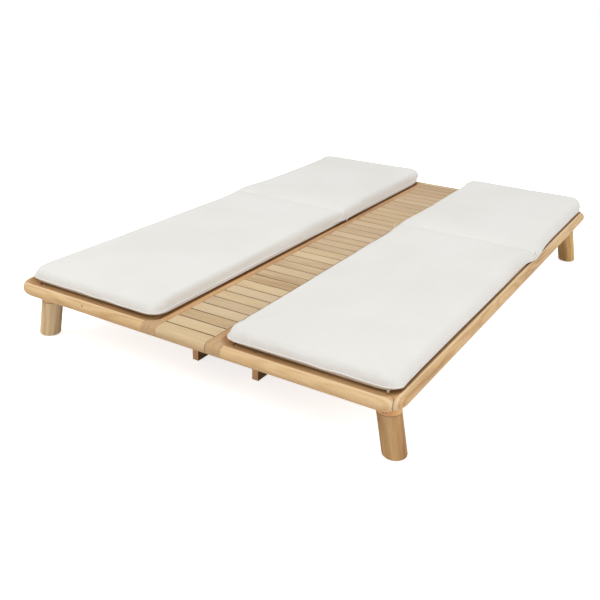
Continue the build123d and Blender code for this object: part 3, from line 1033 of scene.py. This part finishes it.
@dataclass
class Cushion:
    """One long cushion: a seat and a back section with a soft fold between them."""

    side: Side
    cloth: bpy.types.Material
    voxel: float = 0.008
    corner: float = 0.092
    foot_inset: float = 0.040
    cove_depth: float = 0.014
    cove_run: float = 0.036
    foot_shares: tuple[tuple[float, float], ...] = ((0.22, 0.48), (0.42, 0.77), (0.68, 0.97))
    roll: float = 0.024
    roll_start: float = 0.0135
    roll_steps: int = 5
    over_rail: float = 0.040
    back_lap: float = 0.046
    front_lap: float = 0.009
    front_lap_shares: tuple[float, float] = (0.6, 0.4)
    front_reach: float = 0.12
    seat_rise: float = 0.003
    back_rise: float = 0.012
    back_rise_power: float = 0.7
    inner_lap: float = 0.0
    outer_lap: float = 0.003
    lift_reach: float = 0.003
    dip: float = 0.004
    dip_reach: float = 0.035
    bow: float = 0.003
    pinch: float = 0.007
    pinch_reach: float = 0.100
    pinch_shift: float = -0.150
    flare: float = 0.015
    flare_inner_share: float = 0.35
    flare_reach: tuple[float, float] = (0.050, 0.140)
    flare_shift: float = 0.020
    ear: float = 0.009
    ear_reach: float = 0.050
    head_skew: float = 0.026
    groove: float = 0.006
    groove_reach: float = 0.007
    pressure: float = 4.0
    stretch_stiffness: float = 25.0
    bending_stiffness: float = 0.6
    steps_per_frame: int = 5
    frames: int = 20
    cap: float = 0.012
    swell: float = 0.40
    held_share: float = 0.6
    smoothings: int = 3
    smoothing: float = 0.5
    ripple: Wave = Wave(0.0016, (22.0, 22.0, 60.0))
    gathers: Wave = Wave(0.0038, (55.0, 55.0, 20.0), 7.0)
    lumps: Wave = Wave(0.0010, (5.0, 4.0, 0.0), 3.3)
    rim_reach: float = 0.035
    gather_reach: float = 0.11
    pucker_reach: float = 0.010
    seam_rise: float = 0.0165
    seam_height: float = 0.0215
    seam_radius: float = 0.0024
    seam_tuck: float = 0.0022
    seam_tuck_reach: float = 0.004
    seam_step_share: float = 0.4
    seam_wander: Wave = Wave(0.0030, (13.0, 13.0, 0.0), 1.7)
    bend_reach: float = 0.070
    loop_place: Place = (0.006, 0.012, 0.034)
    loop_out: float = 0.009
    loop_twist: float = 0.004
    loop_height: float = 0.016
    loop_hang_share: float = 0.2
    loop_steps: int = 8
    loop_radius: float = 0.0018
    tab_size: Triple = (0.007, 0.0012, 0.012)
    tab_rounding: float = 0.0005
    tab_place: Place = (-0.030, 0.010, 0.012)

    def __post_init__(self) -> None:
        """Read the cushion's place from the frame."""
        self.name = f"{self.side.value}_long_cushion"
        self.nodes = [f"{self.side.value}_{part}"
                      for part in ("seat_cushion", "cushion_fold", "back_cushion")]
        boxes = [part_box(node) for node in self.nodes]
        self.low = Vector([min(box[0][axis] for box in boxes) for axis in range(3)])
        self.high = Vector([max(box[1][axis] for box in boxes) for axis in range(3)])
        self.high.y -= self.over_rail
        self.centre = (self.low + self.high) / 2
        self.half = (self.high - self.low) / 2
        self.fold_y = (boxes[1][0].y + boxes[1][1].y) / 2
        hinge = next(j for j in frame["joints"] if j["name"] == f"{self.side.value}_backrest_hinge")
        self.hinge = Vector(hinge["pos_m"])

    def build(self) -> None:
        """Make the cushion, its seam and its small tabs, and hide the CAD's cushion pieces."""
        body = self._remeshed(self._blank())
        self._inflate(body)
        self._shape(body)
        self._pucker(body)
        self._cover(body)
        seam = self._seam(body)
        modifier = body.modifiers.new("fine_surface", "SUBSURF")
        modifier.levels = modifier.render_levels = 1
        pieces = [body, seam, *self._ties()]
        if self.side is Side.RIGHT:
            pieces.append(self._tab())
        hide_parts(*self.nodes)
        for piece in pieces:
            self._bend(piece)
        log.info("%s cushion with %d faces", self.side.value, len(body.data.polygons))

    def _levels(self) -> list[tuple[float, float]]:
        """List the side's profile.

        Returns:
            Heights above the slats, each with its inset.
        """
        thickness = self.high.z - self.low.z - self.roll_start
        foot = [(rise * self.cove_depth, self.foot_inset - run * self.cove_run)
                for rise, run in self.foot_shares]
        turns = [0.5 * math.pi * step / self.roll_steps for step in range(self.roll_steps + 1)]
        sides = [(self.roll_start + thickness * math.sin(turn), self.roll * (1 - math.cos(turn)))
                 for turn in turns]
        return foot + sides

    def _blank(self) -> bpy.types.Object:
        """Raise a rounded plan through the profile's levels.

        Returns:
            The closed form before its swelling.
        """
        mesh = bmesh.new()
        half = self.half
        bmesh.ops.create_grid(mesh, x_segments=1, y_segments=1, size=1.0)
        foot = (half.x - self.foot_inset, half.y - self.foot_inset, 1.0)
        bmesh.ops.scale(mesh, vec=foot, verts=mesh.verts)
        bmesh.ops.bevel(mesh, geom=mesh.verts, offset=self.corner / 2, segments=6, profile=0.5,
                        affect="VERTICES", material=-1)
        top = mesh.faces[:]
        inset_before = self.foot_inset
        rise_before = 0.0
        for rise, inset in self._levels():
            raised = bmesh.ops.extrude_face_region(mesh, geom=top)["geom"]
            top = [item for item in raised if isinstance(item, bmesh.types.BMFace)]
            points = [item for item in raised if isinstance(item, bmesh.types.BMVert)]
            wider_x = (half.x - inset) / (half.x - inset_before)
            wider_y = (half.y - inset) / (half.y - inset_before)
            bmesh.ops.scale(mesh, vec=(wider_x, wider_y, 1.0), verts=points)
            bmesh.ops.translate(mesh, vec=(0.0, 0.0, rise - rise_before), verts=points)
            inset_before, rise_before = inset, rise
        bmesh.ops.recalc_face_normals(mesh, faces=mesh.faces)
        bmesh.ops.translate(mesh, vec=(self.centre.x, self.centre.y, self.low.z), verts=mesh.verts)
        over_rail = [point for point in mesh.verts
                     if point.co.z > self.low.z + self.seam_rise and point.co.y > self.centre.y]
        bmesh.ops.translate(mesh, vec=(0.0, self.back_lap, 0.0), verts=over_rail)
        return moulded(self.name, mesh)

    def _remeshed(self, blank: bpy.types.Object) -> bpy.types.Object:
        """Give the form an even net of small faces.

        Args:
            blank: The closed form.

        Returns:
            The same object with its new mesh.
        """
        modifier = blank.modifiers.new("even_net", "REMESH")
        modifier.mode = "VOXEL"
        modifier.voxel_size = self.voxel
        graph = bpy.context.evaluated_depsgraph_get()
        data = bpy.data.meshes.new_from_object(blank.evaluated_get(graph))
        blank.modifiers.clear()
        old = blank.data
        blank.data = data
        bpy.data.meshes.remove(old)
        return blank

    def _shape(self, body: bpy.types.Object) -> None:
        """Draw the sides in, raise the head end, work the fold's ends and sink its channel.

        Args:
            body: The cushion.
        """
        half_x = self.half.x
        deck = self.low.z + self.cove_depth
        head = self.high.y + self.back_lap
        for vertex in body.data.vertices:
            place = vertex.co
            start, end = (self.low.y, self.fold_y) if place.y < self.fold_y else (self.fold_y, head)
            share = clamped((place.y - start) / (end - start))
            reach = (place.x - self.centre.x) / half_x
            outward = reach * self.side.sign
            lift = clamped((place.z - deck) / self.lift_reach)
            thick = clamped((place.z - deck) / (self.high.z - deck))
            away = place.y - self.fold_y
            nip = self.pinch * bell((away - self.pinch_shift) / self.pinch_reach)
            past = away - self.flare_shift
            out = self.flare * bell(past / self.flare_reach[past > 0])
            to_end = min(place.y - self.low.y, head - place.y)
            ear = self.ear * math.exp(-(half_x * (1 - abs(reach)) + max(0.0, to_end)) / self.ear_reach)
            lap = self.outer_lap
            if outward < 0:
                out *= self.flare_inner_share
                lap = self.inner_lap
            bow = self.bow * 4 * share * (1 - share)
            front = math.exp(-(place.y - self.low.y) / self.front_reach)
            even, skewed = self.front_lap_shares
            place.y -= self.front_lap * (even - skewed * outward) * front * lift
            place.x += (reach ** 3 * (lap + out - bow - nip) + math.copysign(ear, reach)) * lift
            if self.side is Side.LEFT and share > 0.5 and place.y > self.fold_y:
                place.y += self.head_skew * (share * 2 - 1) * (0.5 + 0.5 * reach) * lift
            rise = self.seat_rise
            if place.y > self.fold_y:
                rise += (self.back_rise - self.seat_rise) * share ** self.back_rise_power
            dip = self.dip * bell(away / self.dip_reach)
            groove = self.groove * bell(away / self.groove_reach)
            place.z += thick * (rise - dip) - groove * lift
        body.data.update()

    def _inflate(self, body: bpy.types.Object) -> None:
        """Swell the cover with cloth under pressure, held along the foot and the fold.

        Args:
            body: The cushion.
        """
        held = body.vertex_groups.new(name="held")
        foot = self.low.z + self.seam_rise
        near_fold = self.held_share * self.voxel
        pinned = [
            vertex.index for vertex in body.data.vertices
            if vertex.co.z < foot or abs(vertex.co.y - self.fold_y) < near_fold
        ]
        held.add(pinned, 1.0, "REPLACE")
        before = [vertex.co.copy() for vertex in body.data.vertices]
        modifier = body.modifiers.new("cover", "CLOTH")
        cloth = modifier.settings
        cloth.use_pressure = True
        cloth.uniform_pressure_force = self.pressure
        cloth.effector_weights.gravity = 0.0
        cloth.vertex_group_mass = held.name
        cloth.quality = self.steps_per_frame
        cloth.tension_stiffness = cloth.compression_stiffness = self.stretch_stiffness
        cloth.bending_stiffness = self.bending_stiffness
        scene = bpy.context.scene
        for step in range(1, self.frames + 1):
            scene.frame_set(step)
        graph = bpy.context.evaluated_depsgraph_get()
        after = [vertex.co.copy() for vertex in body.evaluated_get(graph).data.vertices]
        body.modifiers.clear()
        scene.frame_set(1)
        for vertex, rest, moved in zip(body.data.vertices, before, after):
            step = moved - rest
            if step.length > self.cap:
                step *= self.cap / step.length
            vertex.co = rest + step * self.swell
        body.vertex_groups.clear()
        mesh = bmesh.new()
        mesh.from_mesh(body.data)
        for _ in range(self.smoothings):
            bmesh.ops.smooth_vert(mesh, verts=mesh.verts, factor=self.smoothing, use_axis_x=True,
                                  use_axis_y=True, use_axis_z=True)
        mesh.to_mesh(body.data)
        mesh.free()
        body.data.update()

    def _pucker(self, body: bpy.types.Object) -> None:
        """Add soft creases at the corners and above the seam, and tuck the lower panel in.

        Args:
            body: The cushion.
        """
        normals = [vertex.normal.copy() for vertex in body.data.vertices]
        foot = self.low.z + self.seam_rise
        seam = self.low.z + self.seam_height
        for vertex, normal in zip(body.data.vertices, normals):
            place = vertex.co
            edge_x = min(place.x - self.low.x, self.high.x - place.x)
            edge_y = min(place.y - self.low.y, self.high.y - place.y)
            rim = math.exp(-max(0.0, min(edge_x, edge_y)) / self.rim_reach)
            corner = math.exp(-(edge_x + edge_y) / self.gather_reach)
            rise = (self.ripple.at(place) * rim + self.gathers.at(place) * corner
                    + self.lumps.at(place, self.side.sign)
                    - self.seam_tuck * clamped((seam - place.z) / self.seam_tuck_reach))
            vertex.co = place + normal * rise * clamped((place.z - foot) / self.pucker_reach)
        body.data.update()

    def _seam(self, body: bpy.types.Object) -> bpy.types.Object:
        """Run a sewn ridge round the cushion where its upper and lower panels meet.

        Args:
            body: The cushion.

        Returns:
            The ridge.
        """
        mesh = bmesh.new()
        mesh.from_mesh(body.data)
        height = self.low.z + self.seam_height
        cut = bmesh.ops.bisect_plane(mesh, geom=mesh.verts[:] + mesh.edges[:] + mesh.faces[:],
                                     plane_co=(0.0, 0.0, height), plane_no=(0.0, 0.0, 1.0))["geom_cut"]
        kept = {item for item in cut if isinstance(item, bmesh.types.BMEdge)}
        start = min(kept, key=lambda edge: edge.verts[0].index).verts[0]
        route, here, used = [start.co.copy()], start, set()
        while True:
            onward = [edge for edge in here.link_edges if edge in kept and edge not in used]
            if not onward:
                break
            used.add(onward[0])
            here = onward[0].other_vert(here)
            if here is start:
                break
            if (here.co - route[-1]).length > self.seam_step_share * self.voxel:
                route.append(here.co.copy())
        mesh.free()
        for place in route:
            place.z += self.seam_wander.at(place, self.side.sign)
        return self._tube(f"{self.side.value}_cushion_seam", route, self.seam_radius, True)

    def _ties(self) -> list[bpy.types.Object]:
        """Sew a small loop to each end of the fold.

        Returns:
            The two loops.
        """
        made = []
        off, back, up = self.loop_place
        turns = [math.pi * step / self.loop_steps for step in range(self.loop_steps + 1)]
        for end, x, out in (("low_x", self.low.x, -1), ("high_x", self.high.x, 1)):
            base = Vector((x + out * off, self.fold_y + back, self.low.z + up))
            route = [base + Vector((out * self.loop_out * math.sin(turn),
                                    self.loop_twist * math.sin(2 * turn),
                                    self.loop_height * (math.cos(turn) - self.loop_hang_share)))
                     for turn in turns]
            name = f"{self.side.value}_fold_loop_{end}"
            made.append(self._tube(name, route, self.loop_radius, False))
        return made

    def _tab(self) -> bpy.types.Object:
        """Sew a small care tab under the seam near the outer front corner.

        Returns:
            The tab.
        """
        mesh = bmesh.new()
        bmesh.ops.create_cube(mesh, size=1.0)
        bmesh.ops.scale(mesh, vec=self.tab_size, verts=mesh.verts)
        bmesh.ops.bevel(mesh, geom=mesh.edges, offset=self.tab_rounding, segments=2, profile=0.5,
                        affect="EDGES", material=-1)
        x, y, z = self.tab_place
        place = (self.high.x + x, self.low.y + y, self.low.z + z)
        bmesh.ops.translate(mesh, vec=place, verts=mesh.verts)
        made = moulded(f"{self.side.value}_cushion_tab", mesh)
        self._cover(made)
        return made

    def _tube(self, name: str, route: list[Vector], radius: float, closed: bool) -> bpy.types.Object:
        """Make a thin sewn cord along a route.

        Args:
            name: The piece's name.
            route: The points that it follows.
            radius: Its radius.
            closed: Whether its ends meet.

        Returns:
            The cord as a mesh.
        """
        curve = bpy.data.curves.new(name + "_path", "CURVE")
        curve.dimensions = "3D"
        curve.bevel_depth = radius
        curve.bevel_resolution = 2
        curve.use_fill_caps = not closed
        spline = curve.splines.new("POLY")
        spline.points.add(len(route) - 1)
        for point, place in zip(spline.points, route):
            point.co = (*place, 1.0)
        spline.use_cyclic_u = closed
        guide = bpy.data.objects.new(name + "_path", curve)
        data = bpy.data.meshes.new_from_object(guide)
        bpy.data.objects.remove(guide)
        bpy.data.curves.remove(curve)
        data.name = name
        made = stand(name, data)
        self._cover(made)
        return made

    def _cover(self, piece: bpy.types.Object) -> None:
        """Give a piece its cloth and a record of where its threads lie.

        Args:
            piece: The cushion or a cord sewn to it.
        """
        threads = piece.data.attributes.new(CLOTH_PLACE, "FLOAT_VECTOR", "POINT")
        places = [level for vertex in piece.data.vertices for level in vertex.co]
        threads.data.foreach_set("vector", places)
        piece.data.materials.clear()
        piece.data.materials.append(self.cloth)
        piece.data.polygons.foreach_set("use_smooth", [True] * len(piece.data.polygons))

    def _bend(self, piece: bpy.types.Object) -> None:
        """Bake a piece's placement into its mesh.

        Args:
            piece: The cushion or a cord sewn to it.
        """
        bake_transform(piece)


@dataclass(frozen=True)
class Lamp:
    """A soft square lamp."""

    name: str
    place: Place
    size: float
    power: float

    def hang(self, aim: Vector) -> None:
        """Hang the lamp and point it.

        Args:
            aim: What it points at.
        """
        data = bpy.data.lights.new(self.name, "AREA")
        data.shape = "SQUARE"
        data.size = self.size
        data.energy = self.power
        lamp = stand(self.name, data)
        lamp.location = self.place
        lamp.rotation_mode = "QUATERNION"
        lamp.rotation_quaternion = (aim - Vector(self.place)).to_track_quat("-Z", "Y")


@dataclass
class Studio:
    """The photograph's viewpoint, a pale floor and soft lamps."""

    eye: Place = (1.3297, -2.6058, 1.2279)
    yaw: float = -30.413
    pitch: float = 23.547
    roll: float = 2.062
    focal_pixels: float = 786.9
    sensor: float = 36.0
    nearest: float = 0.05
    farthest: float = 100.0
    lamps: tuple[Lamp, ...] = (
        Lamp("key_lamp", (-2.2, -3.0, 4.8), 3.2, 131.0),
        Lamp("fill_lamp", (4.2, -0.8, 2.7), 3.0, 66.0),
        Lamp("rear_lamp", (-0.5, 4.5, 4.0), 3.0, 26.0),
    )
    aim: Place = (0.0, 0.0, 0.2)
    world_level: float = 0.63
    white: tuple[float, float, float, float] = (1.0, 1.0, 1.0, 1.0)
    floor_size: float = 30.0
    floor_colour: tuple[float, float, float, float] = (0.93, 0.93, 0.93, 1.0)
    floor_glow: float = 0.74

    def build(self) -> None:
        """Set the camera, the lamps, the world and the floor."""
        self._camera()
        self._world()
        for lamp in self.lamps:
            lamp.hang(Vector(self.aim))
        self._floor()
        bpy.context.scene.view_settings.view_transform = "Standard"
        log.info("studio")

    def _camera(self) -> None:
        """Look at the lounger as the photograph does."""
        yaw, pitch, roll = (math.radians(angle) for angle in (self.yaw, self.pitch, self.roll))
        ahead = Vector((math.sin(yaw) * math.cos(pitch), math.cos(yaw) * math.cos(pitch),
                        -math.sin(pitch)))
        level = Vector((math.cos(yaw), -math.sin(yaw), 0.0))
        upward = level.cross(ahead)
        right = math.cos(roll) * level + math.sin(roll) * upward
        above = math.cos(roll) * upward - math.sin(roll) * level
        data = bpy.data.cameras.new("viewpoint")
        data.sensor_width = self.sensor
        data.lens = self.focal_pixels / IMAGE_SIDE * self.sensor
        data.clip_start, data.clip_end = self.nearest, self.farthest
        camera = stand("viewpoint", data)
        columns = Matrix((right, above, -ahead)).transposed().to_4x4()
        camera.matrix_world = Matrix.Translation(self.eye) @ columns
        bpy.context.scene.camera = camera

    def _world(self) -> None:
        """Light from all round, with white behind the object."""
        graph = Graph(bpy.data.worlds.new("pale_room"))
        rays = [graph.node("ShaderNodeLightPath", None, None, f"Is {kind} Ray")
                for kind in ("Camera", "Glossy", "Transmission")]
        seen = rays[0].over(rays[1]).over(rays[2])
        strength = seen * (1.0 - self.world_level) + self.world_level
        colour = graph.node("ShaderNodeBackground", None, {"Color": self.white, "Strength": strength})
        bpy.context.scene.world = graph.close(colour, "ShaderNodeOutputWorld")

    def _floor(self) -> None:
        """Lay a pale floor that keeps the shadow and is white elsewhere."""
        mesh = bmesh.new()
        bmesh.ops.create_grid(mesh, x_segments=1, y_segments=1, size=self.floor_size / 2)
        floor = moulded("studio_floor", mesh)
        graph = Graph.material("pale_floor")
        diffuse = graph.node("ShaderNodeBsdfDiffuse", None, {"Color": self.floor_colour})
        glow = graph.node("ShaderNodeEmission", None, {"Color": self.white, "Strength": self.floor_glow})
        seen = graph.node("ShaderNodeLightPath", None, None, "Is Camera Ray")
        mixed = graph.node("ShaderNodeAddShader", None, {0: diffuse, 1: glow})
        shader = graph.node("ShaderNodeMixShader", None, {0: seen, 1: diffuse, 2: mixed})
        floor.data.materials.append(graph.close(shader))


def main() -> None:
    """Dress the lounger piece by piece."""
    logging.basicConfig(level=logging.INFO, format="%(name)s: %(message)s")
    Studio().build()
    Rails().dress()
    Deck().dress()
    Legs().dress()
    Understructure().dress()
    cloth = CanvasFinish().build()
    for side in Side:
        Cushion(side, cloth).build()


if __name__ == "__main__":
    main()
